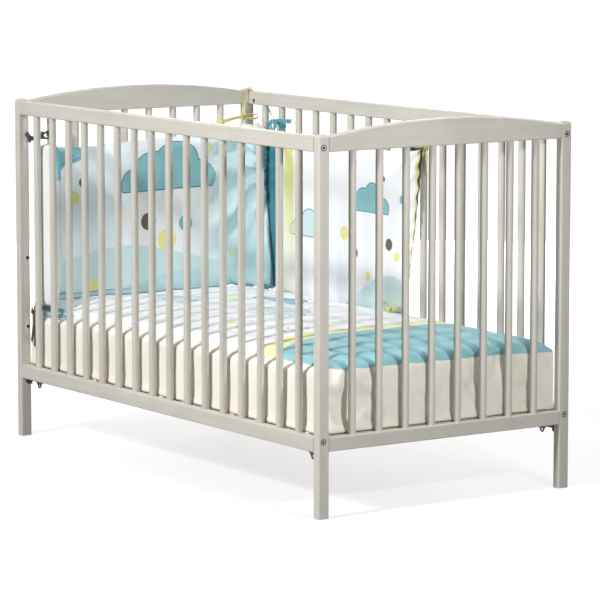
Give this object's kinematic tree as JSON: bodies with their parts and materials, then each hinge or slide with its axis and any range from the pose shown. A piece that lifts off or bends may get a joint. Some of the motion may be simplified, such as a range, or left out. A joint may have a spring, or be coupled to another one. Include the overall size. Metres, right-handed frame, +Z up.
{
  "type": "baby crib",
  "caption": "Wooden baby crib with barred sides and ends, arched end rails, a height-adjustable slatted base, a mattress with a fitted sheet and a corner bumper.",
  "frame": {"origin": "on the floor under the middle of the crib", "axes": "+X towards the foot end, +Y towards the back side, +Z up"},
  "size_m": [1.24, 0.646, 0.8044],
  "materials": {
    "lacquered_wood": "satin",
    "bare_wood": "matte",
    "zinc_steel": "satin",
    "bracket_steel": "satin",
    "foam": "matte",
    "mattress_ticking": "matte",
    "sheet_cotton": "matte",
    "wadding": "matte",
    "head_pad_cotton": "matte",
    "back_pad_cotton": "matte",
    "join_cotton": "matte",
    "dark_ribbon": "matte",
    "teal_ribbon": "matte",
    "yellow_ribbon": "matte"
  },
  "bodies": {
    "frame": {"post_foot_back": "lacquered_wood", "post_foot_front": "lacquered_wood", "post_head_back": "lacquered_wood", "post_head_front": "lacquered_wood", "back_top_rail": "lacquered_wood", "back_bottom_rail": "lacquered_wood", "front_top_rail": "lacquered_wood", "front_bottom_rail": "lacquered_wood", "foot_top_rail": "lacquered_wood", "foot_bottom_rail": "lacquered_wood", "head_top_rail": "lacquered_wood", "head_bottom_rail": "lacquered_wood", "back_bars": "lacquered_wood", "front_bars": "lacquered_wood", "foot_bars": "lacquered_wood", "head_bars": "lacquered_wood", "side_rail_dowels": "bare_wood", "end_rail_dowels": "bare_wood", "side_bolts": "zinc_steel", "barrel_nuts": "zinc_steel", "base_height_inserts": "zinc_steel", "base_brackets": "bracket_steel", "bracket_bolts": "zinc_steel"},
    "base": {"base_back_member": "bare_wood", "base_front_member": "bare_wood", "base_foot_member": "bare_wood", "base_head_member": "bare_wood", "base_slats": "bare_wood", "slat_screws": "zinc_steel", "base_frame_screws": "zinc_steel"},
    "mattress": {"mattress_foam": "foam", "mattress_cover": "mattress_ticking", "fitted_sheet": "sheet_cotton"},
    "bumper": {"head_bumper_wadding": "wadding", "head_bumper_cover": "head_pad_cotton", "back_bumper_wadding": "wadding", "back_bumper_cover": "back_pad_cotton", "bumper_join": "join_cotton", "head_front_top_tie": "dark_ribbon", "head_back_top_tie": "yellow_ribbon", "join_top_tie": "teal_ribbon", "back_foot_top_tie": "dark_ribbon", "head_front_hanging_tie": "dark_ribbon", "front_lying_bow": "teal_ribbon", "join_lying_bow": "teal_ribbon", "back_lying_bow": "yellow_ribbon"}
  },
  "joints": [
    {"name": "base_height", "type": "slide", "parent": "frame", "child": "base", "axis": [0, 0, 1], "range_m": [0, 0.288]},
    {"name": "mattress_lift", "type": "slide", "parent": "base", "child": "mattress", "axis": [0, 0, 1], "range_m": [0, 0.64]},
    {"name": "bumper_lift", "type": "slide", "parent": "mattress", "child": "bumper", "axis": [0, 0, 1], "range_m": [0, 0.5], "deforming": ["head_front_top_tie", "head_back_top_tie", "join_top_tie", "back_foot_top_tie", "head_front_hanging_tie", "front_lying_bow", "join_lying_bow", "back_lying_bow"]}
  ]
}
